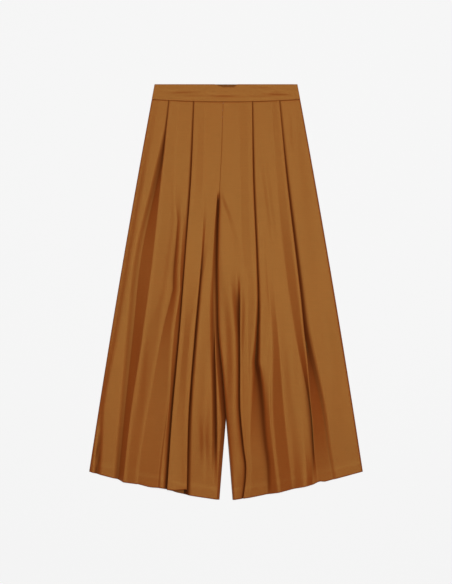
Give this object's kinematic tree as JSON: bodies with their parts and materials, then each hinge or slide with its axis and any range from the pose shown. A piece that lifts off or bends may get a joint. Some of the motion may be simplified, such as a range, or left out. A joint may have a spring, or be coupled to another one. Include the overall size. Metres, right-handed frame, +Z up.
{
  "type": "palazzo trousers",
  "caption": "Wide-legged palazzo trousers in satin-finished plain-weave cloth, laid flat, with a plain waistband and outward knife pleats.",
  "frame": {"origin": "centre of the bounding box, on the surface the trousers lie on", "axes": "+Z up out of the front of the garment, +Y towards the waistband, +X towards the wearer's left leg"},
  "size_m": [0.6976, 1.0586, 0.018],
  "materials": {
    "cloth_face": "satin sheen, plain weave with fine cross slubs",
    "cloth_inside": "matt inside of the same plain weave"
  },
  "bodies": {
    "root": {"waistband_front": "cloth_face", "waistband_back": "cloth_inside", "front_leg_right": "cloth_face", "front_leg_left": "cloth_face", "back_leg_right": "cloth_inside", "back_leg_left": "cloth_inside"}
  },
  "joints": []
}
